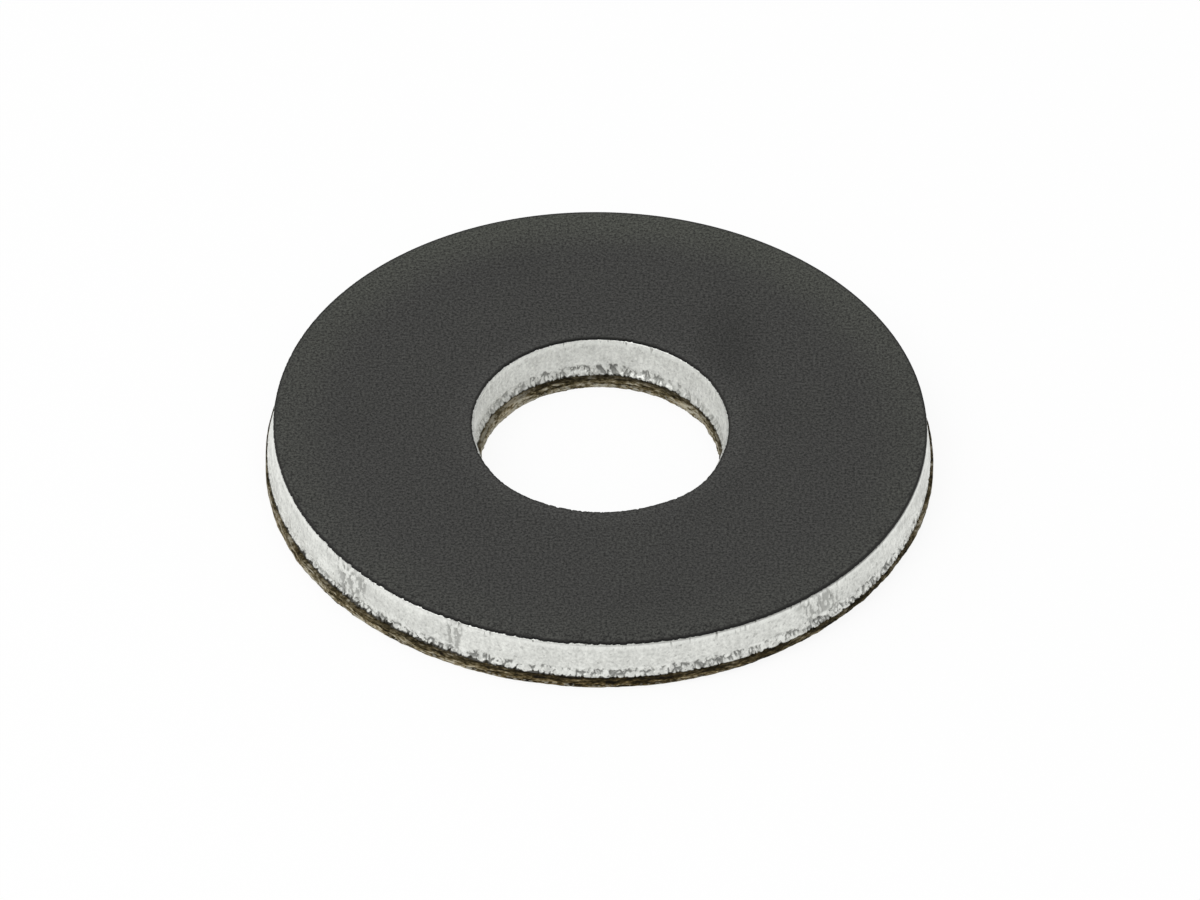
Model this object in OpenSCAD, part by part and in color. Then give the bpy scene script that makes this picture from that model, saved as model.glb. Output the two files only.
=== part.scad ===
// Spacer washer cut from a bonded laminate: a dark facing film on top, a bright metal core
// and a brown fibre backing underneath. The cut spreads on its way down, so the outside of
// the metal widens and its hole narrows from the film to the backing. The softer fibre
// springs back a little past the metal at both cut edges and stands proud of it there.

/* [Washer] */
// Outside diameter over the fibre backing, the widest layer
washer_od = 24; // [18:0.5:60]
// Diameter of the bolt hole through the fibre backing, the tightest layer
bolt_hole_d = 8.8; // [3:0.1:12]

/* [Layers] */
// Thickness of the dark facing film
film_t = 0.1; // [0.05:0.01:0.3]
// Thickness of the metal core
core_t = 1.4; // [0.6:0.1:5]
// Thickness of the fibre backing
backing_t = 0.5; // [0.3:0.05:2]

/* [Cut edges] */
// How far each metal edge spreads sideways between the film and the backing
cut_spread = 0.18; // [0:0.01:0.4]
// How far each fibre edge stands proud of the metal edge above it
fibre_proud = 0.1; // [0:0.01:0.25]
// Rounding of the backing's worn lower rim, on the outside
worn_rim_r = 0.15; // [0.05:0.01:0.25]

/* [Hidden] */
$fn = 180;

// Hole and outside radius at each level of the cut, from the bottom up
backing_radii = [bolt_hole_d / 2, washer_od / 2];
core_foot_radii = backing_radii + [fibre_proud, -fibre_proud];
face_radii = core_foot_radii + [cut_spread, -cut_spread];

// Height of each bond line above the underside
core_z = backing_t;
film_z = core_z + core_t;

film_colour = [0.26, 0.26, 0.25];
metal_colour = [0.83, 0.84, 0.83];
fibre_colour = [0.34, 0.28, 0.2];

// Ring whose two walls run straight from the lower pair of radii to the upper pair
module cut_ring(height, lower, upper) {
    rotate_extrude()
        polygon([
            [lower[0], 0],
            [lower[1], 0],
            [upper[1], height],
            [upper[0], height]
        ]);
}

// Ring with a sharp hole edge and a rounded lower rim on the outside
module worn_ring(height, radii, rim_r) {
    shoulder_r = radii[1] - rim_r;
    rotate_extrude() {
        translate([radii[0], 0])
            square([shoulder_r - radii[0], height]);
        translate([radii[0], rim_r])
            square([radii[1] - radii[0], height - rim_r]);
        translate([shoulder_r, rim_r])
            circle(rim_r);
    }
}

module facing_film() {
    color(film_colour)
        translate([0, 0, film_z])
            cut_ring(film_t, face_radii, face_radii);
}

module metal_core() {
    color(metal_colour)
        translate([0, 0, core_z])
            cut_ring(core_t, core_foot_radii, face_radii);
}

module fibre_backing() {
    color(fibre_colour)
        worn_ring(backing_t, backing_radii, worn_rim_r);
}

facing_film();
metal_core();
fibre_backing();
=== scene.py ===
# %% [markdown]
# A spacer washer, cut from a bonded laminate
#
# The washer is a flat ring of three layers that were glued as sheets and then cut through together:
# a dark facing film, a bright metal core and a brown fibre backing. Every layer has the same form, a
# ring, so the interest is in what the cutter did to its edges. The lesson builds each ring from one
# rule, roughens its edges, and gives each layer the finish that it has on the real part.

# %% Load the measured part
import math

import bpy
from mathutils import Matrix, Vector


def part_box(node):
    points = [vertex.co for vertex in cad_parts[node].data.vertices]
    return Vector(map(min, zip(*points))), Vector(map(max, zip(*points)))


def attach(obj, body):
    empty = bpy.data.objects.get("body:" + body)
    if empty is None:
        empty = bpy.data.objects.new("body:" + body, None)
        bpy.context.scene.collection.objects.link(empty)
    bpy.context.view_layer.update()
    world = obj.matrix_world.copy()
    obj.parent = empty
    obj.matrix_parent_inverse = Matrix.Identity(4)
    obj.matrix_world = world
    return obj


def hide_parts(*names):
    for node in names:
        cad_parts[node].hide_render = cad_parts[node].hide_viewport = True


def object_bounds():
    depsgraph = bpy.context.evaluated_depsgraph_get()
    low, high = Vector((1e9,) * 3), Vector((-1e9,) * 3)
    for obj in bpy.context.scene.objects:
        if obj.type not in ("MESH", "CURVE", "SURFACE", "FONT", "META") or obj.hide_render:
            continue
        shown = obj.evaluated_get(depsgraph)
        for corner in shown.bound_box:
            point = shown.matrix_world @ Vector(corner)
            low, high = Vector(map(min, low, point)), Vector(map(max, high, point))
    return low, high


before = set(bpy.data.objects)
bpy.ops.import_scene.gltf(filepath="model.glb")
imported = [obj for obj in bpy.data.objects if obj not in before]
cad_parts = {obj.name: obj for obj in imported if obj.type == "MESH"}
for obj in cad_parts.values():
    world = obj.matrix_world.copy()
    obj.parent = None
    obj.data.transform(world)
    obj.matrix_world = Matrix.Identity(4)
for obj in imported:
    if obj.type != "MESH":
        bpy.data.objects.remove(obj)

MM = 0.001
cad_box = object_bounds()
print("measured box in mm:", [round(side / MM, 3) for side in cad_box[1] - cad_box[0]])

# %% [markdown]
# Sizes
#
# The measured model already holds the radii and heights of the three layers, so nothing is typed in
# twice. A box tells a ring's two heights. The radii of its hole and its outside are read at both
# heights from the corners of its mesh, because the metal's cut edges slope. The backing's lower rim
# is rounded, so its foot takes the full radius here and is rounded again when its edge is worn.

# %% Read each ring's radii and heights
SAME_LEVEL = 0.01 * MM


def ring_sizes(node):
    """Hole and outside radius at the foot and at the head of a ring, and its two heights."""
    corners = [corner.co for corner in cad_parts[node].data.vertices]
    low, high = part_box(node)
    sizes = {"Bottom": low.z, "Top": high.z}
    for end, level in (("Low", low.z), ("High", high.z)):
        radii = [corner.xy.length for corner in corners if abs(corner.z - level) < SAME_LEVEL]
        sizes["Hole " + end] = min(radii)
        sizes["Outside " + end] = max(radii)
    return sizes


FILM = ring_sizes("facing_film")
CORE = ring_sizes("metal_core")
BACKING = ring_sizes("fibre_backing")
BACKING["Outside Low"] = BACKING["Outside High"]
for layer, sizes in (("film", FILM), ("core", CORE), ("backing", BACKING)):
    print(layer, {name: round(size / MM, 3) for name, size in sizes.items()})

# %% [markdown]
# Node maths as plain sums
#
# Both the shapes and the finishes are made of nodes, and most of those nodes are arithmetic. Wiring
# Math nodes by hand hides the formula, so one small class wraps an output socket and lets Python's own
# operators add the Math nodes. Each operator has its reflected form too, so that 1 - mask works. The
# same class serves geometry trees and shader trees, because the two share their Math, Noise and Voronoi
# nodes. One method makes every other kind of node.

# %% A wire that can be added, multiplied and compared
def socket_named(sockets, key):
    """The socket with that index, identifier or visible name."""
    if isinstance(key, int):
        return sockets[key]
    return next(s for s in sockets if s.enabled and key in (s.identifier, s.name))


def both_ways(operation):
    """One Math operation as two methods: wire first, and its reflected form, value first."""

    def wire_first(wire, value):
        return wire.beside("ShaderNodeMath", {"operation": operation}, {0: wire, 1: value})

    def value_first(wire, value):
        return wire.beside("ShaderNodeMath", {"operation": operation}, {0: value, 1: wire})

    return wire_first, value_first


class Wire:
    """An output socket of a node, ready to be used in a formula."""

    def __init__(self, socket):
        self.socket = socket

    @classmethod
    def node(cls, tree, kind, settings=None, inputs=None, output=0):
        """Add a node: its settings first, then the values or wires of its inputs."""
        made = tree.nodes.new(kind)
        for name, value in (settings or {}).items():
            if name == "stops":
                cls.set_stops(made.color_ramp, value)
            else:
                setattr(made, name, value)
        for key, value in (inputs or {}).items():
            socket = socket_named(made.inputs, key)
            if isinstance(value, Wire):
                tree.links.new(value.socket, socket)
            else:
                socket.default_value = value
        return cls(socket_named(made.outputs, output))

    @staticmethod
    def set_stops(ramp, stops):
        """Give a colour ramp its (place, colour) stops."""
        while len(ramp.elements) < len(stops):
            ramp.elements.new(1.0)
        for element, (place, colour) in zip(ramp.elements, stops):
            element.position = place
            element.color = (*colour, 1.0)

    def beside(self, kind, settings=None, inputs=None, output=0):
        """Add a node to the tree that this wire is in."""
        return Wire.node(self.socket.id_data, kind, settings, inputs, output)

    def other(self, output):
        """Another output of the same node."""
        return Wire(socket_named(self.socket.node.outputs, output))

    def math(self, operation, *values, clamp=False):
        """A Math node that takes this wire first."""
        inputs = dict(enumerate((self, *values)))
        return self.beside("ShaderNodeMath", {"operation": operation, "use_clamp": clamp}, inputs)

    __add__, __radd__ = both_ways("ADD")
    __sub__, __rsub__ = both_ways("SUBTRACT")
    __mul__, __rmul__ = both_ways("MULTIPLY")
    __truediv__, __rtruediv__ = both_ways("DIVIDE")
    __pow__, __rpow__ = both_ways("POWER")

    def __lt__(self, value):
        return self.math("LESS_THAN", value)

    def __gt__(self, value):
        return self.math("GREATER_THAN", value)

    def larger(self, value):
        return self.math("MAXIMUM", value)

    def smaller(self, value):
        return self.math("MINIMUM", value)

    def clamp(self):
        """This value, held between 0 and 1."""
        return self.math("ADD", 0.0, clamp=True)

    def ramp(self, start, end):
        """0 up to start, 1 from end on, and a soft step between; start may be the larger."""
        inputs = {"Value": self, "From Min": start, "From Max": end}
        return self.beside("ShaderNodeMapRange", {"interpolation_type": "SMOOTHSTEP"}, inputs)

    def vector(self, operation, value=None, output=0):
        """Vector Math on this vector, with one more vector or a scale where it needs one."""
        inputs = {0: self}
        if value is not None:
            inputs["Scale" if operation == "SCALE" else 1] = value
        return self.beside("ShaderNodeVectorMath", {"operation": operation}, inputs, output)

    def flat(self):
        """This vector without its height."""
        return self.vector("MULTIPLY", (1.0, 1.0, 0.0))

    def from_axis(self):
        """How far this place is from the washer's axis."""
        return self.flat().vector("LENGTH", None, "Value")

    def facing(self, degrees, narrow=1.0):
        """1 on that side of the axis, falling to 0 on the other; narrow draws the side in."""
        side = (math.cos(math.radians(degrees)), math.sin(math.radians(degrees)), 0.0)
        cosine = self.flat().vector("NORMALIZE").vector("DOT_PRODUCT", side, "Value")
        return (cosine * 0.5 + 0.5) ** narrow

    def noise(self, scale, detail=2.0, roughness=0.5):
        """Smooth noise from 0 to 1; scale is one number, or one number for each axis."""
        if not isinstance(scale, (int, float)):
            return self.vector("MULTIPLY", scale).noise(1.0, detail, roughness)
        inputs = {"Vector": self, "Scale": scale, "Detail": detail, "Roughness": roughness}
        return self.beside("ShaderNodeTexNoise", {}, inputs)

    def swing(self, scale, detail=2.0, roughness=0.5):
        """The same noise, from about -1 to 1."""
        return self.noise(scale, detail, roughness) * 2.0 - 1.0


print("node kit ready:", len([name for name in vars(Wire) if callable(getattr(Wire, name))]), "methods")

# %% [markdown]
# One rule for every ring
#
# A ring could be spun from a profile, or cut out of a disc. Here a flat grid is rolled up instead: one
# side of the grid runs round the axis, and the other runs round the section, up the outside, across
# the face, down the hole and back along the underside. Its rows crowd towards the cut edges, where
# the detail is. Each point also knows its height in the layer, how far it is from the nearest cut and
# where on that cut it belongs, so wear is aimed at the edges and fades into the faces without a fold.
# On the real washer the upper rim sags a little on one side, and the hole is slightly out of round
# with two wider corners. How much of each is an input too. A side of the washer is always named by its
# turn round the axis in degrees, and 270 faces the camera.

# %% Roll a grid up into a ring
NUMBERS = (
    "Hole Low", "Hole High", "Outside Low", "Outside High", "Bottom", "Top",
    "Oval Low", "Oval High", "Roll", "Roll Width", "Edge Width", "Row Bias", "Seed",
)
COUNTS = ("Columns", "Wall Rows", "Face Rows", "Under Rows")
ROLLED_SIDE = 270.0
CORNER_SIDES_AND_SHARES = ((317.0, 1.0), (227.0, 0.5))
CORNER_NARROW = 40.0
HOLE_END_FADE = (0.5, 0.9)
SEAM = 0.0005 * MM


class RingTree:
    """A geometry tree that holds a plain ring, to be roughened and finished."""

    def __init__(self, name, own_numbers):
        self.tree = bpy.data.node_groups.new(name, "GeometryNodeTree")
        self.tree.is_modifier = True
        face = self.tree.interface
        face.new_socket("Geometry", in_out="INPUT", socket_type="NodeSocketGeometry")
        for label in NUMBERS + own_numbers:
            face.new_socket(label, in_out="INPUT", socket_type="NodeSocketFloat")
        for label in COUNTS:
            face.new_socket(label, in_out="INPUT", socket_type="NodeSocketInt")
        face.new_socket("Geometry", in_out="OUTPUT", socket_type="NodeSocketGeometry")
        given = self.tree.nodes.new("NodeGroupInput")
        labels = NUMBERS + own_numbers + COUNTS
        self.size = {label: Wire(given.outputs[label]) for label in labels}
        self.lay_grid()
        self.measure_section()

    def node(self, kind, settings=None, inputs=None, output=0):
        return Wire.node(self.tree, kind, settings, inputs, output)

    def between(self, low, high, share):
        """The value that lies that share of the way from low to high."""
        return low + (high - low) * share

    def crowded(self, share):
        """The same share from 0 to 1, with its steps closer together at both ends."""
        return share.clamp() * 0.5 + share.ramp(0.0, 1.0) * 0.5

    def lay_grid(self):
        """A flat grid; its rows climb the outside, cross the face, go down the hole and come back."""
        walls, faces, unders = (self.size[label] for label in COUNTS[1:])
        rows = walls * 2.0 + faces + unders
        counts = {"Vertices X": self.size["Columns"] + 1.0, "Vertices Y": rows + 1.0}
        spans = {"Size X": 1.0, "Size Y": 1.0}
        self.geometry = self.node("GeometryNodeMeshGrid", {}, {**spans, **counts})
        flat = self.node("ShaderNodeSeparateXYZ", {}, {0: self.node("GeometryNodeInputPosition")})
        self.turn = (flat + 0.5) * math.tau
        row = ((flat.other("Y") + 0.5) * rows).math("ROUND")
        climb = (row / walls).clamp()
        inward = self.crowded((row - walls) / faces)
        descent = ((row - walls - faces) / walls).clamp()
        outward = self.crowded((row - walls * 2.0 - faces) / unders)
        # A bias above 1 crowds a wall's rows towards its foot.
        self.height = (climb - descent) ** self.size["Row Bias"]
        self.across = inward - outward

    def measure_section(self):
        """Every point's place on the plain ring, and what it lies on."""
        size = self.size
        self.outside = self.between(size["Outside Low"], size["Outside High"], self.height)
        round_hole = self.between(size["Hole Low"], size["Hole High"], self.height)
        oval = self.between(size["Oval Low"], size["Oval High"], self.height)
        twice_round = (self.turn * 2.0).math("COSINE")
        hole = round_hole - twice_round * oval
        self.radius = self.between(self.outside, hole, self.across)
        self.level = self.between(size["Bottom"], size["Top"], self.height)
        self.hole_side = self.across > 0.5
        self.outer_side = 1.0 - self.hole_side
        self.inset = (self.outside - hole) * self.across.smaller(1.0 - self.across)
        self.wall = self.between(self.outside, hole, self.hole_side)
        self.blank = self.place(self.radius, self.level)
        self.rim = self.place(self.wall, self.level).vector("SCALE", 1.0 / MM)
        self.where = self.rim.vector("ADD", size["Seed"])
        corners = [
            self.rim.facing(side, CORNER_NARROW) * share for side, share in CORNER_SIDES_AND_SHARES
        ]
        self.corner = sum(corners) * self.hole_side
        self.hole_ends = twice_round.ramp(*HOLE_END_FADE) * self.hole_side

    def place(self, radius, level):
        """The point at that radius and level, at each point's own turn round the axis."""
        x, y = radius * self.turn.math("COSINE"), radius * self.turn.math("SINE")
        return self.node("ShaderNodeCombineXYZ", {}, {"X": x, "Y": y, "Z": level})

    def keep(self, name, value, kind="FLOAT"):
        """Keep a value on the mesh for the finish to read."""
        settings = {"data_type": kind, "domain": "POINT"}
        inputs = {"Geometry": self.geometry, "Name": name, "Value": value}
        self.geometry = self.node("GeometryNodeStoreNamedAttribute", settings, inputs)

    def then(self, kind, **inputs):
        """Pass the mesh through one more node."""
        named = {name.replace("_", " "): value for name, value in inputs.items()}
        self.geometry = self.node(kind, {}, {"Geometry": self.geometry, **named})

    def finish(self, depth, sag, lift, material):
        """Sink the cut edges by depth, let the rim sag, raise by lift, and set the finish."""
        self.keep("height", self.height)
        self.keep("inset", self.inset / MM)
        self.keep("blank", self.blank, "FLOAT_VECTOR")
        near = (1.0 - self.inset / self.size["Edge Width"]).clamp()
        worn = self.radius + (self.hole_side - self.outer_side) * near * depth
        past = ((worn - self.outside) / self.size["Roll Width"] + 1.0).clamp()
        roll = past * past * self.rim.facing(ROLLED_SIDE) * self.size["Roll"]
        self.then("GeometryNodeSetPosition", Position=self.place(worn, self.level + lift - roll * sag))
        self.then("GeometryNodeMergeByDistance", Distance=SEAM)
        self.then("GeometryNodeSetShadeSmooth", Shade_Smooth=True)
        self.then("GeometryNodeRealizeInstances")
        self.then("GeometryNodeSetMaterial", Material=material)
        result = self.tree.nodes.new("NodeGroupOutput")
        self.tree.links.new(self.geometry.socket, result.inputs["Geometry"])
        return self.tree


print("ring rule ready:", len(NUMBERS), "sizes and", len(COUNTS), "counts")

# %% Bake a ring's tree
OVAL = 0.07 * MM
ROLL = {"Roll": 0.05 * MM, "Roll Width": 0.8 * MM}
NO_ROLL = {"Roll": 0.0, "Roll Width": 1.0 * MM}


def bake_ring(name, tree, values):
    """Run a ring's tree with these input values and keep the result as a plain mesh."""
    piece = bpy.data.objects.new(name, bpy.data.meshes.new(name))
    bpy.context.scene.collection.objects.link(piece)
    modifier = piece.modifiers.new("Ring", "NODES")
    modifier.node_group = tree
    for item in tree.interface.items_tree:
        if item.in_out == "INPUT" and item.name in values:
            modifier[item.identifier] = values[item.name]
    graph = bpy.context.evaluated_depsgraph_get()
    ready = piece.evaluated_get(graph)
    mesh = bpy.data.meshes.new_from_object(ready, preserve_all_data_layers=True, depsgraph=graph)
    piece.modifiers.remove(modifier)
    piece.data = mesh
    mesh.name = name
    triangles = sum(len(face.vertices) - 2 for face in mesh.polygons)
    print(name, len(mesh.vertices), "points,", triangles, "triangles")
    return piece


print("hole out of round by", OVAL / MM, "mm, rim sags by", ROLL["Roll"] / MM, "mm")

# %% [markdown]
# Finishes
#
# Every finish reads the washer's own coordinates in millimetres, so the grain keeps its real size. The
# cut edges also read what their ring keeps on its points: the height in the layer, the distance from
# the nearest cut, and the place of the point before the edge was roughened. In the formulas the first
# number of a noise says how fine it is per millimetre, a fade is the start and the end of a soft step,
# and the factors are given weights.

# %% Start a finish
class Finish:
    """A material with one Principled shader and the washer's coordinates in millimetres."""

    def __init__(self, name, constants):
        self.material = bpy.data.materials.new(name)
        self.material.use_nodes = True
        self.tree = self.material.node_tree
        self.shader = self.tree.nodes["Principled BSDF"]
        for socket, value in constants.items():
            self.shader.inputs[socket].default_value = value
        self.mm = self.node("ShaderNodeTexCoord", {}, {}, "Object").vector("SCALE", 1.0 / MM)

    def node(self, kind, settings=None, inputs=None, output=0):
        return Wire.node(self.tree, kind, settings, inputs, output)

    def kept(self, name, output="Fac"):
        """A value that the ring's tree kept on the points."""
        return self.node("ShaderNodeAttribute", {"attribute_name": name}, {}, output)

    def blank(self):
        """The place in mm before the edge was roughened."""
        return self.kept("blank", "Vector").vector("SCALE", 1.0 / MM)

    def mix(self, share, first, second, blend="MIX"):
        """A blend of two colours; each is a wire or three numbers."""
        colours = [c if isinstance(c, Wire) else (*c, 1.0) for c in (first, second)]
        settings = {"data_type": "RGBA", "blend_type": blend}
        inputs = {"Factor_Float": share, "A_Color": colours[0], "B_Color": colours[1]}
        return self.node("ShaderNodeMix", settings, inputs, "Result_Color")

    def tint(self, share, colour, factors):
        """The colour multiplied by three factors, as far as share says."""
        return self.mix(share, colour, factors, "MULTIPLY")

    def bump(self, height, depth_mm):
        """A Bump node for relief of that depth."""
        inputs = {"Height": height, "Distance": depth_mm * MM, "Strength": 1.0}
        return self.node("ShaderNodeBump", {}, inputs)

    def feed(self, **wires):
        """Feed the shader's inputs, and give back the finished material."""
        for name, wire in wires.items():
            self.tree.links.new(wire.socket, self.shader.inputs[name.replace("_", " ")])
        print(self.material.name, "has", len(self.tree.nodes), "nodes")
        return self.material


print("finish kit ready")

# %% [markdown]
# The dark facing film
#
# The face is a matte charcoal film with a fine, even speckle, a touch lighter and greener towards its
# rim, and with one faint thumb smudge. Where the cutter went through it, the film's side is painted
# near black and a thin band of the face beside the edge is painted darker: painted shade along the
# edge. The edge has small bites that let the metal flash through. The speckle is too fine to model and
# goes into colour and bump. The bites are modelled, because they break the outline.

# %% Dark film finish
CHARCOAL_DARK = (0.012, 0.012, 0.0112)
CHARCOAL_LIGHT = (0.068, 0.068, 0.064)
FILM_EDGE_SHADE = (0.019, 0.019, 0.017)
FILM_SIDE_SHADE = (0.006, 0.006, 0.0055)
LIGHTER = (1.14, 1.14, 1.14)
GREENER = (1.36, 1.42, 1.28)
SMUDGED = (0.74, 0.74, 0.74)
SMUDGE_PLACE = (4.6, 4.5, 0.0)
SMUDGE_SHAPE = (1.25, 0.55, 1.0)
SMUDGE_FADE = (2.8, 0.6)
HOLE_FADE = [FILM["Hole High"] / MM + off for off in (1.02, 0.22)]
RIM_FADE = [FILM["Outside High"] / MM - off for off in (2.52, 0.32)]
FAR_SIDE = 90.0
EDGE_SHADE_FADE = (0.1, 0.03)
SIDE_SHADE_FADE = (0.98, 0.9)
SPECKLE_DEPTH_MM = 0.008


def dark_film():
    finish = Finish("Dark film", {"Specular IOR Level": 0.2})
    place = finish.mm
    speckle = place.noise(10.5, 1.0)
    grit = place.noise(22.0, 1.0)
    grain = ((speckle - 0.5) * 2.2 + (grit - 0.5) * 1.8 + 0.5).clamp()
    charcoal = finish.mix(grain, CHARCOAL_DARK, CHARCOAL_LIGHT)
    radius = place.from_axis()
    near_hole = finish.tint(radius.ramp(*HOLE_FADE), charcoal, LIGHTER)
    rim = radius.ramp(*RIM_FADE) * (place.facing(FAR_SIDE, 2.0) * 0.75 + 0.25)
    green = (rim + place.noise(0.45).ramp(0.5, 0.75) * 0.12).clamp()
    greener = finish.tint(green, near_hole, GREENER)
    off = place.vector("SUBTRACT", SMUDGE_PLACE).vector("MULTIPLY", SMUDGE_SHAPE)
    away = off.from_axis() + place.noise(1.1) * 1.2
    smudge = away.ramp(*SMUDGE_FADE) * 0.95 + place.noise(0.3, 3.0).ramp(0.5, 0.8) * 0.3
    face = finish.tint(smudge.clamp(), greener, SMUDGED)
    # Painted shade: a thin band of the face along the edge, and the film's cut side, are painted
    # darker.
    edge_shaded = finish.mix(finish.kept("inset").ramp(*EDGE_SHADE_FADE), face, FILM_EDGE_SHADE)
    cut = finish.kept("height").ramp(*SIDE_SHADE_FADE)
    return finish.feed(
        Base_Color=finish.mix(cut, edge_shaded, FILM_SIDE_SHADE),
        Roughness=grain * 0.12 + 0.56,
        Normal=finish.bump(speckle + grit * 0.5, SPECKLE_DEPTH_MM),
    )


film_finish = dark_film()

# %% Dark film shape
RAGGED_SIDE = 248.0


def film_tree(material):
    ring = RingTree("Film ring", ("Fray", "Bite", "Corner"))
    size, along = ring.size, ring.where.flat()
    ragged = ring.rim.facing(RAGGED_SIDE, 2.0) * ring.outer_side + ring.hole_side * 0.6
    fray = along.swing(8.0, 3.0) * (ragged + 0.1) * size["Fray"]
    bitten = (along.noise(5.0, 2.0) + ragged * 0.12).ramp(0.62, 0.74)
    depth = fray + bitten * ragged * size["Bite"] + ring.corner * size["Corner"]
    return ring.finish(depth, 1.0, 0.0, material)


film_values = {
    **FILM, **ROLL, "Oval Low": OVAL, "Oval High": OVAL, "Edge Width": 0.5 * MM, "Seed": 3.0,
    "Columns": 2000, "Wall Rows": 3, "Face Rows": 34, "Under Rows": 4, "Row Bias": 1.0,
    "Fray": 0.05 * MM, "Bite": 0.05 * MM, "Corner": 0.14 * MM,
}
film = bake_ring("washer_film", film_tree(film_finish), film_values)

# %% [markdown]
# The torn edge of the metal
#
# A cutter shears most of the metal cleanly and tears the rest, so the lower part of the bright edge has
# a row of small tears. Outside they are loops and specks: the borders of a Voronoi pattern, broken up
# by noise. In the hole the metal was dragged, so there they are mixed with leaning strokes, which are a
# sine wave round the axis whose steps a noise makes uneven. A few dents outside were left by the scrap.
# One function for each writes its pattern into the geometry tree, to sink the wall, and into the
# finish, to darken the same spots.

# %% Tears and dents in the cut
HOLE_OR_OUTSIDE = (CORE["Hole High"] + CORE["Outside High"]) / 2 / MM
TEAR_PITCH = 0.21
TEAR_STRETCH = 0.6
FORWARD_COUNT_AND_LEAN = (75, -0.7)
BACKWARD_COUNT_AND_LEAN = (61, 0.6)
STROKE_WANDER = 10.0
TORN_HOLE_SIDES = (95.0, 275.0)
TORN_OUTER_SIDES = (292.0, 72.0)
SMEARED_HOLE_SIDE = 142.0
DENT_SIDES_AND_WIDTHS = ((222.0, 4.6), (244.6, 1.8), (312.0, 6.0))


def strokes(where, count, lean):
    """Leaning strokes round the ring, from -1 between them to 1 in their middle."""
    apart = where.beside("ShaderNodeSeparateXYZ", {}, {0: where})
    turn = apart.other("Y").math("ARCTAN2", apart)
    leaned = turn + apart.other("Z") / where.from_axis() * lean
    return (leaned * count + where.swing(1.6, 2.0) * STROKE_WANDER).math("SINE")


def outer_tears(where):
    """Loops and specks."""
    cells = {"Vector": where.vector("MULTIPLY", (1.0, 1.0, TEAR_STRETCH)), "Scale": 1.0 / TEAR_PITCH}
    border = where.beside("ShaderNodeTexVoronoi", {"feature": "DISTANCE_TO_EDGE"}, cells)
    bands = (border + where.noise(7.0) * 0.2).ramp(0.29, 0.15)
    loops = bands * where.noise(3.5, 2.0).ramp(0.44, 0.55)
    return loops.larger(where.noise(8.5).ramp(0.61, 0.69))


def hole_tears(where, loops):
    """Leaning strokes with patches of loops, and flat smears on one side."""
    forward = strokes(where, *FORWARD_COUNT_AND_LEAN).ramp(0.25, 0.75)
    backward = strokes(where, *BACKWARD_COUNT_AND_LEAN).ramp(0.45, 0.9)
    forward_patches = where.noise(2.0).ramp(0.36, 0.48)
    backward_patches = where.noise(2.7).ramp(0.48, 0.58)
    leaning = (forward * forward_patches).larger(backward * backward_patches)
    mixed = leaning + (loops - leaning) * where.noise(0.9).ramp(0.44, 0.52)
    flat_noise = where.noise((2.2, 2.2, 9.0), 2.0)
    smears = flat_noise.ramp(0.54, 0.64) * where.facing(SMEARED_HOLE_SIDE, 12.0)
    return mixed.larger(smears) * (where.facing(TORN_HOLE_SIDES[0], 8.0) * 0.5 + 0.5)


def two_sides(where, main, second):
    """1 on the main side of the washer, and less on a narrower second side."""
    return where.facing(main, 1.5) + where.facing(second, 3.0) * 0.6


def tears(where, height):
    """How deep the cut is torn, from 0 to 1, at a place in mm and a height in the layer."""
    in_hole = where.from_axis() < HOLE_OR_OUTSIDE
    outer_marks = outer_tears(where)
    marks = outer_marks + (hole_tears(where, outer_marks) - outer_marks) * in_hole
    outer_side = two_sides(where, *TORN_OUTER_SIDES)
    side = outer_side + (two_sides(where, *TORN_HOLE_SIDES) - outer_side) * in_hole
    reach = where.flat().noise(1.3, 2.0) * 0.36 + side * 0.16 - 0.08
    return marks * (height - reach).ramp(0.05, -0.05) * side.ramp(0.1, 0.7)


def dents(where):
    """How far the outer wall is dented, from 0 to 1."""
    outside = where.from_axis() > HOLE_OR_OUTSIDE
    ragged = where.swing(1.6)
    patches = []
    for degrees, width in DENT_SIDES_AND_WIDTHS:
        # What facing lacks of 1 is the square of the sine of half the angle between.
        off = (1.0 - where.facing(degrees)).math("SQRT") * math.degrees(2.0)
        patches.append((off + ragged * width * 0.6).ramp(width, width * 0.3))
    return sum(patches) * outside * where.noise((7.0, 7.0, 3.5), 2.0).ramp(0.44, 0.6)


print("tears", TEAR_PITCH, "mm apart,", len(DENT_SIDES_AND_WIDTHS), "dents")

# %% [markdown]
# The bright metal
#
# The cut face is frosted metal: bright grey with a fine grain, faint marks drawn down by the cutter and
# cloudy smears. It is painted lighter on the side that faces the softbox and a little darker in the
# hole, as painted light and painted shade. Its upper lip is polished where the film was bitten away,
# and the lip and a ridge near the foot are painted brighter as a painted highlight. Under the film the
# lip is dark with smeared film, and on one side with painted shade under the film's edge. Its foot is
# notched and black with glue. The shape gets the tears and dents, a small burr at the head, and a foot
# that spreads over the soft backing and is undercut at one end.

# %% Bright cut metal finish
METAL_DULL = (0.46, 0.465, 0.44)
METAL_BRIGHT = (0.94, 0.95, 0.905)
METAL_POLISH_AND_HIGHLIGHT = (0.95, 0.96, 0.92)
METAL_TORN = (0.09, 0.09, 0.083)
FILM_SMEAR_AND_SHADE = (0.2, 0.2, 0.19)
NOTCH_BLACK = (0.022, 0.018, 0.01)
CLEAN_SIDE = 278.0
PAINTED_LIGHT_SIDE = 200.0
FILM_SHADE_SIDE = 325.0
HIGH_FOOT_SIDE = 230.0
LOW_FOOT_SIDE = 294.0
UNDERCUT_SIDE = 352.0
TORN_SHADE = 0.68
NOTCH_SHADE = 0.9
FROST_DEPTH_MM = 0.012


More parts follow.
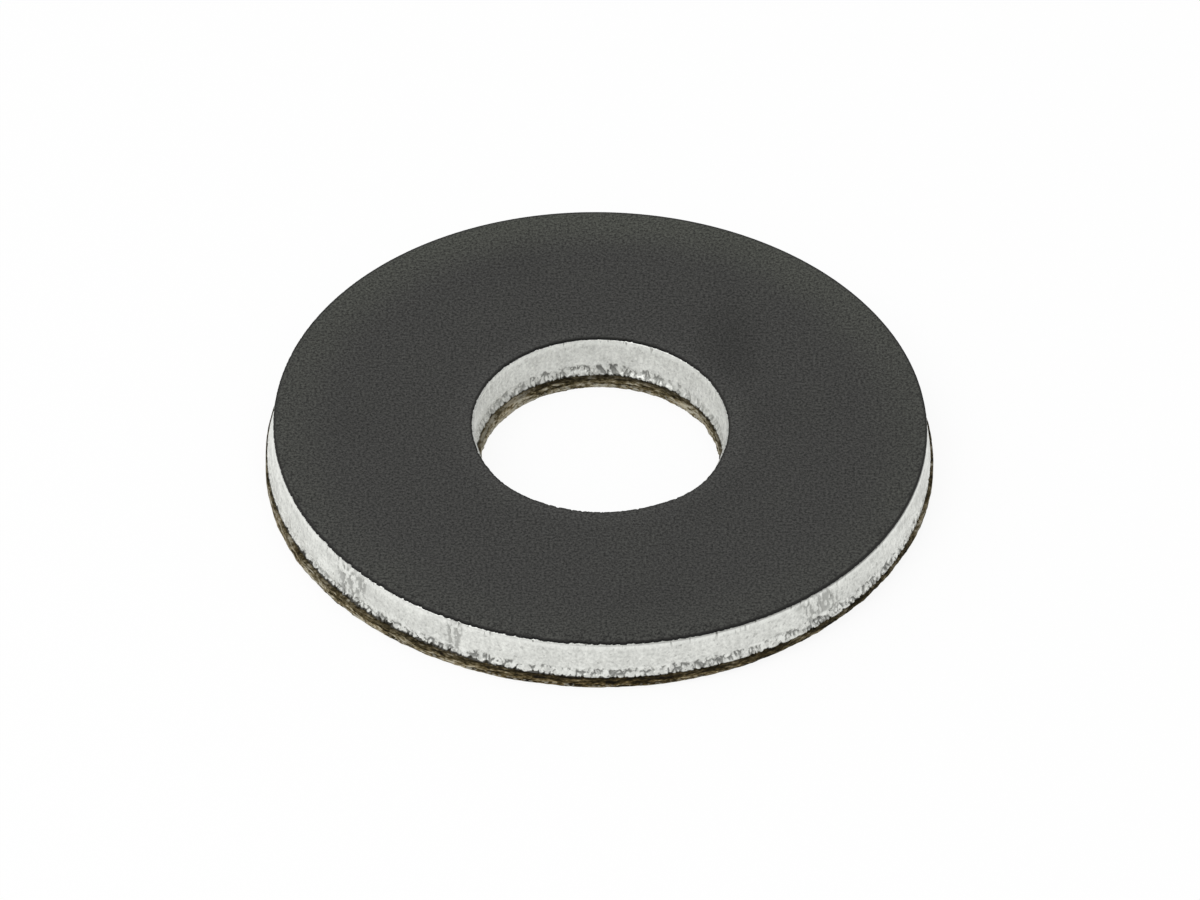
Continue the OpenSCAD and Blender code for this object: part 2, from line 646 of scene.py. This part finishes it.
def cut_metal():
    finish = Finish("Cut metal", {"Metallic": 1.0})
    height, where = finish.kept("height"), finish.blank()
    torn = tears(where, height)
    outside = where.from_axis() > HOLE_OR_OUTSIDE
    frost = where.swing(9.0, 3.0, 0.65)
    drag = where.swing((5.0, 5.0, 1.4), 2.0)
    cloud = where.swing(0.9, 2.0)
    smear = where.swing((0.7, 0.7, 2.5), 2.0) * (1.0 - where.facing(CLEAN_SIDE, 5.0)) * outside
    pits = where.noise(6.5, 2.0).ramp(0.62, 0.72)
    grain = frost * 0.75 + drag * 0.25 + cloud * 0.18 + smear * 0.55 - pits * 0.4
    # Painted light and shade: lighter on the side that faces the softbox, and a little darker in the
    # hole than outside.
    light = where.facing(PAINTED_LIGHT_SIDE, 6.0) * 0.1 + outside * 0.03 + 0.52
    metal = finish.mix((grain + light - dents(where)).clamp(), METAL_DULL, METAL_BRIGHT)
    # Painted highlight: the polished upper lip is painted brighter.
    lip = height.ramp(0.8, 0.9) * (where.noise(6.0) * 0.5 + 0.2)
    lip_highlighted = finish.mix(lip, metal, METAL_POLISH_AND_HIGHLIGHT)
    # Dark film smears near the top, and on one side painted shade under the film's edge.
    dragged = where.noise((7.0, 7.0, 1.6), 2.0).ramp(0.62, 0.7) * height.ramp(0.74, 0.98)
    shade_under_film = height.ramp(0.93, 0.98) * where.facing(FILM_SHADE_SIDE, 3.0) * outside
    smeared_and_shaded = finish.tint(((dragged + shade_under_film) * 0.6).clamp(), lip_highlighted, FILM_SMEAR_AND_SHADE)
    # Painted highlight: a bright ridge near the foot.
    ridge_highlight = height.ramp(0.34, 0.24) * where.noise(5.0).ramp(0.45, 0.6) * (outside * 0.45 + 0.25)
    ridge_highlighted = finish.mix(ridge_highlight, smeared_and_shaded, METAL_POLISH_AND_HIGHLIGHT)
    torn_metal = finish.mix((torn * TORN_SHADE).clamp(), ridge_highlighted, METAL_TORN)
    foot = where.facing(HIGH_FOOT_SIDE, 12.0) * 0.05 - where.facing(LOW_FOOT_SIDE, 12.0) * 0.03
    notch = (where.noise(5.0, 2.0) * 0.2 + foot - 0.075 - height).ramp(-0.012, 0.018)
    return finish.feed(
        Base_Color=finish.mix(notch * NOTCH_SHADE, torn_metal, NOTCH_BLACK),
        Roughness=(torn * 0.2 + frost * 0.1 + 0.45).clamp(),
        Normal=finish.bump(frost + drag * 0.5, FROST_DEPTH_MM),
    )


core_finish = cut_metal()

# %% Metal core shape
def core_tree(material):
    own = ("Tear", "Dent", "Grain", "Burr", "Foot", "Hole Foot", "Undercut", "Corner", "Lip")
    ring = RingTree("Core ring", own)
    size, height = ring.size, ring.height
    torn = tears(ring.rim, height) * size["Tear"] + dents(ring.rim) * size["Dent"]
    grain = ring.where.swing(6.0, 2.0) * size["Grain"]
    burr = height.ramp(0.92, 1.0) * ring.where.flat().noise(4.0, 2.0) * size["Burr"]
    flare = ring.outer_side * size["Foot"] + ring.hole_side * size["Hole Foot"]
    undercut = ring.rim.facing(UNDERCUT_SIDE, 30.0) * ring.outer_side * size["Undercut"]
    foot = height.ramp(0.16, 0.0) * (flare - undercut)
    corner = ring.corner * height * size["Corner"]
    lip = ring.hole_ends * height.ramp(0.75, 1.0) * size["Lip"]
    return ring.finish(torn + grain + corner - burr - foot - lip, height, 0.0, material)


core_values = {
    **CORE, **ROLL, "Oval Low": 0.0, "Oval High": OVAL, "Edge Width": 1.2 * MM, "Seed": 11.0,
    "Columns": 1500, "Wall Rows": 30, "Face Rows": 3, "Under Rows": 3, "Row Bias": 1.4,
    "Tear": 0.05 * MM, "Dent": 0.05 * MM, "Grain": 0.012 * MM, "Burr": 0.03 * MM,
    "Foot": 0.055 * MM, "Hole Foot": 0.1 * MM, "Undercut": 0.08 * MM,
    "Corner": 0.09 * MM, "Lip": 0.06 * MM,
}
core = bake_ring("washer_core", core_tree(core_finish), core_values)

# %% [markdown]
# The fibre backing
#
# The backing is pressed fibre. Its cut edge is streaked along the layer: dark with glue under the
# metal, brown to tan below, paler on the side that faces the softbox as painted light, and with pale
# painted glints where broken fibres catch the light. Its underside shows the fibres lying flat in every
# direction, like felt, which a few noises give that are stretched and turned by different angles. The
# board is softer than the metal, so its outline waves and swells on one side, some of it is squeezed
# into the hole, and its lower rim is full on one side and worn away on the other.

# %% Brown fibre finish
PAINTED_LIGHT_FIBRE_SIDE = 203.0
FULL_HOLE_SIDE = 155.0
MIRRORED_HOLE_SIDE = 180.0 - FULL_HOLE_SIDE
WORN_SIDE = 322.0
DARK_SIDE = 270.0
SWOLLEN_SIDE = 195.0
FELT_TURNS = (12.0, 58.0, 101.0, 149.0)
FIBRE_SIZE = (0.9, 0.11, 1.0)
UNDERSIDE = 0.001
UNDERSIDE_FADE = (0.03, 0.2)
FIBRE_STOPS = (
    (0.0, (0.007, 0.0055, 0.003)),
    (0.35, (0.044, 0.035, 0.0148)),
    (0.6, (0.13, 0.106, 0.058)),
    (0.82, (0.27, 0.234, 0.155)),
    (1.0, (0.48, 0.45, 0.36)),
)
WARMER = (1.06, 0.95, 0.78)
GLUE = (0.011, 0.0085, 0.0045)
FIBRE_GLINT = (0.4, 0.385, 0.33)
GLINT_SHADE = 0.8
FIBRE_DEPTH_MM = 0.03


def felted(finish):
    """Fibres that lie flat, each group at its own turn."""
    groups = []
    for degrees in FELT_TURNS:
        turned = (0.0, 0.0, math.radians(degrees))
        laid = {"Vector": finish.mm, "Rotation": turned, "Scale": FIBRE_SIZE}
        groups.append(finish.node("ShaderNodeMapping", {"vector_type": "TEXTURE"}, laid).noise(1.0))
    felt = groups[0]
    for group in groups[1:]:
        felt = felt.larger(group)
    return felt


def brown_fibre():
    finish = Finish("Brown fibre", {"Specular IOR Level": 0.06})
    height, where = finish.kept("height"), finish.blank()
    in_hole = where.from_axis() < HOLE_OR_OUTSIDE
    outside = 1.0 - in_hole
    streak = where.swing((1.1, 1.1, 7.0), 3.0, 0.65)
    strand = where.swing((5.5, 5.5, 14.0), 2.0, 0.6)
    # Painted light: the outer wall that faces the softbox is painted paler.
    painted_light_outside = where.facing(PAINTED_LIGHT_FIBRE_SIDE, 6.0) * outside
    far_end = where.facing(MIRRORED_HOLE_SIDE, 8.0) * 0.6
    pale_hole = (where.facing(FULL_HOLE_SIDE, 8.0) + far_end) * in_hole
    pale_end = where.facing(UNDERCUT_SIDE, 30.0) * outside
    pale_side = painted_light_outside * 0.27 + pale_end * 0.2 + pale_hole * 0.46 + in_hole * 0.08
    pale = pale_side + height.ramp(0.6, 0.0) * 0.22
    dark = where.facing(DARK_SIDE, 60.0) * outside * 0.14
    edge = streak * 1.2 + strand * 0.9 + pale - dark + 0.36
    felt = felted(finish)
    board = (felt - 0.6) * 2.2 + finish.mm.swing(0.3, 3.0) * 0.15 + 0.46
    under = finish.kept("inset").ramp(*UNDERSIDE_FADE)
    tone = (edge + (board - edge) * under).clamp()
    brown = finish.node("ShaderNodeValToRGB", {"stops": FIBRE_STOPS}, {0: tone})
    warm_side = where.facing(DARK_SIDE, 30.0) * outside * (1.0 - under)
    warmth = where.noise(1.2).ramp(0.46, 0.66) * 0.4 + warm_side
    warm = finish.tint(warmth.clamp(), brown, WARMER)
    glue = (height + where.swing(2.0) * 0.2 + strand * 0.15).ramp(0.62, 0.95)
    thin = where.facing(WORN_SIDE, 2.0) * outside * 0.35 + painted_light_outside * 0.5 + pale_end * 0.3
    glued = finish.mix(glue * (0.92 - thin - pale_hole * 0.4 - in_hole * 0.1), warm, GLUE)
    on_wall = height.ramp(0.5, 0.15) * (height > UNDERSIDE)
    # Painted glints: pale specks on the lower wall stand in for light caught by broken fibres.
    glint = where.noise((6.5, 6.5, 10.0), 2.0).ramp(0.53, 0.61) * on_wall
    return finish.feed(
        Base_Color=finish.mix(glint * GLINT_SHADE, glued, FIBRE_GLINT),
        Roughness=strand * 0.1 + 0.8,
        Normal=finish.bump(edge + (felt - edge) * under, FIBRE_DEPTH_MM),
    )


backing_finish = brown_fibre()

# %% Fibre backing shape
SECOND_FULL_HOLE_SIDE = FULL_HOLE_SIDE + 190.0
LUMP_FINENESS = 0.6
LUMP_FLOOR = 0.4
LUMP_FADE = (0.2, 2.2)


def backing_tree(material):
    own = (
        "Wave", "Strand", "Squeeze", "Swell", "Rim", "Rim Wear", "Reach", "Bulge", "Margin", "Lump",
    )
    ring = RingTree("Backing ring", own)
    size = ring.size
    wave = ring.where.flat().swing(0.7, 3.0) * size["Wave"]
    strand = ring.where.swing((2.2, 2.2, 9.0), 3.0, 0.6) * size["Strand"]
    full = ring.rim.facing(FULL_HOLE_SIDE, 3.0)
    second_full = ring.rim.facing(SECOND_FULL_HOLE_SIDE, 20.0) * 0.8
    squeeze = (full + second_full + 0.3) * ring.hole_side * size["Squeeze"]
    swell = ring.rim.facing(SWOLLEN_SIDE, 25.0) * ring.outer_side * size["Swell"]
    rim = size["Rim"] + ring.rim.facing(WORN_SIDE, 12.0) * size["Rim Wear"]
    below = (1.0 - ring.level / rim).clamp()
    worn = rim * (1.0 - (1.0 - below * below).math("SQRT")) * ring.outer_side
    rough = wave + strand - squeeze - swell
    # The measured box touches the ring at its four quarter turns, so bulges are drawn in there.
    spare = 1.0 - ((ring.turn * 4.0).math("COSINE") * 0.5 + 0.5) * ring.outer_side
    sunk = rough.larger(0.0) * (spare * 0.2 + 0.8)
    swollen = rough.smaller(0.0) * (spare * 0.8 + 0.2) + (1.0 - spare) * size["Margin"]
    limit = (ring.wall - size["Reach"]) * ring.outer_side - spare * size["Bulge"]
    depth = (sunk + swollen + worn).larger(limit)
    hills = ring.blank.vector("SCALE", 1.0 / MM).noise(LUMP_FINENESS, 0.0)
    lumps = (hills - LUMP_FLOOR).larger(0.0) * size["Lump"]
    lift = lumps * (ring.height < UNDERSIDE) * (ring.inset / MM).ramp(*LUMP_FADE)
    return ring.finish(depth, 0.0, lift, material)


reach = min(abs(side) for corner in cad_box for side in corner.xy)
backing_values = {
    **BACKING, **NO_ROLL, "Oval Low": 0.0, "Oval High": 0.0, "Edge Width": 1.2 * MM, "Seed": 7.0,
    "Columns": 1300, "Wall Rows": 20, "Face Rows": 3, "Under Rows": 32, "Row Bias": 1.0,
    "Wave": 0.07 * MM, "Strand": 0.09 * MM, "Squeeze": 0.1 * MM, "Swell": 0.12 * MM,
    "Rim": 0.1 * MM, "Rim Wear": 0.38 * MM, "Reach": reach, "Bulge": 0.4 * MM,
    "Margin": 0.015 * MM, "Lump": 0.1 * MM,
}
backing = bake_ring("washer_backing", backing_tree(backing_finish), backing_values)

# %% [markdown]
# Put the layers on the part
#
# The three finished rings stand for the three measured layers. The washer has no joint, so all of them
# ride on its one body.

# %% Replace the measured layers
for piece, node, slot in (
    (film, "facing_film", "dark_film"),
    (core, "metal_core", "cut_metal"),
    (backing, "fibre_backing", "brown_fibre"),
):
    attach(piece, "root")
    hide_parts(node)
    print(piece.name, "stands for", node)

# %% [markdown]
# Floor and light
#
# The washer lies in even white light on white. The floor's own colour makes the background: what the
# camera and the shiny metal see of it is mostly a plain white glow, and the rest is an ordinary white
# surface, which keeps a soft shadow under the rim. The light comes from a tent of even white all round,
# and one square softbox at the upper left gives the edges their direction.

# %% White floor
FLOOR_SIZE = 4.0
FLOOR_LEVEL = -0.005 * MM
FLOOR_GLOW = 0.9
FLOOR_WHITE = (0.95, 0.95, 0.95, 1.0)
FULL_WHITE = (1.0, 1.0, 1.0, 1.0)

half = FLOOR_SIZE / 2
outline = ((-half, -half), (half, -half), (half, half), (-half, half))
corners = [(x, y, FLOOR_LEVEL) for x, y in outline]
floor_mesh = bpy.data.meshes.new("floor")
floor_mesh.from_pydata(corners, [], [(0, 1, 2, 3)])
floor = bpy.data.objects.new("floor", floor_mesh)
bpy.context.scene.collection.objects.link(floor)
white = bpy.data.materials.new("White floor")
white.use_nodes = True
white_tree = white.node_tree
white_tree.nodes.clear()
paths = Wire.node(white_tree, "ShaderNodeLightPath", {}, {}, "Is Camera Ray")
direct = (paths + paths.other("Is Glossy Ray") + paths.other("Is Transmission Ray")).clamp()
seen = direct * FLOOR_GLOW
plain = paths.beside("ShaderNodeBsdfDiffuse", {}, {"Color": FLOOR_WHITE})
glow = paths.beside("ShaderNodeEmission", {}, {"Color": FULL_WHITE, "Strength": 1.0})
both = paths.beside("ShaderNodeMixShader", {}, {0: seen, 1: plain, 2: glow})
surface = white_tree.nodes.new("ShaderNodeOutputMaterial")
white_tree.links.new(both.socket, surface.inputs["Surface"])
floor_mesh.materials.append(white)
print("floor", FLOOR_SIZE, "m wide,", -FLOOR_LEVEL / MM, "mm under the fibre")

# %% Soft light
WORLD_LIGHT = 0.75
SOFTBOX_PLACE = (-0.18, -0.12, 0.34)
SOFTBOX_WIDTH = 0.3
SOFTBOX_POWER = 0.55

world = bpy.data.worlds.new("Light tent")
bpy.context.scene.world = world
world.use_nodes = True
sky = world.node_tree.nodes["Background"]
rays = Wire.node(world.node_tree, "ShaderNodeLightPath", {}, {}, "Is Camera Ray")
strength = rays * (1.0 - WORLD_LIGHT) + WORLD_LIGHT
world.node_tree.links.new(strength.socket, sky.inputs["Strength"])
sky.inputs["Color"].default_value = FULL_WHITE

lamp = bpy.data.lights.new("Softbox", "AREA")
lamp.size = SOFTBOX_WIDTH
lamp.energy = SOFTBOX_POWER
softbox = bpy.data.objects.new("Softbox", lamp)
bpy.context.scene.collection.objects.link(softbox)
softbox.location = SOFTBOX_PLACE
softbox.rotation_euler = (-Vector(SOFTBOX_PLACE)).to_track_quat("-Z", "Y").to_euler()
print("world light", WORLD_LIGHT, "and a softbox", SOFTBOX_WIDTH, "m wide")

# %% [markdown]
# Camera
#
# The photograph looks down on the washer from a little over forty degrees through a long lens, so the
# two ends of the ring are almost the same size, and the picture is turned by about one degree. The
# camera stands where the middle of the dark face falls on its place in the picture.

# %% Camera at the photograph's view
PICTURE_WIDTH = 1200
PICTURE_MIDDLE = Vector((600.0, 450.0))
FACE_MIDDLE = Vector((600.27, 424.41))
PIXELS_PER_MM = 27.883
LENS_MM = 600.0
SENSOR_MM = 36.0
ELEVATION = math.radians(41.2)
TILT = math.radians(1.02)
CLIP_NEAR = 0.01
CLIP_FAR = 10.0

back = Vector((0.0, -math.cos(ELEVATION), math.sin(ELEVATION)))
level_right = Vector((1.0, 0.0, 0.0))
level_up = back.cross(level_right)
right = level_right * math.cos(TILT) + level_up * math.sin(TILT)
up = back.cross(right)
distance = LENS_MM / SENSOR_MM * PICTURE_WIDTH / PIXELS_PER_MM * MM
aside = (FACE_MIDDLE - PICTURE_MIDDLE) / PIXELS_PER_MM * MM
face_centre = Vector((0.0, 0.0, FILM["Top"]))
lens = bpy.data.cameras.new("Camera")
lens.lens = LENS_MM
lens.sensor_width = SENSOR_MM
lens.clip_start = CLIP_NEAR
lens.clip_end = CLIP_FAR
camera = bpy.data.objects.new("Camera", lens)
bpy.context.scene.collection.objects.link(camera)
stand = face_centre + back * distance - right * aside.x + up * aside.y
axes = Matrix((right, up, back)).transposed()
camera.matrix_world = Matrix.Translation(stand) @ axes.to_4x4()
bpy.context.scene.camera = camera
bpy.context.scene.view_settings.view_transform = "Standard"
print("camera", round(distance, 4), "m away")

# %% [markdown]
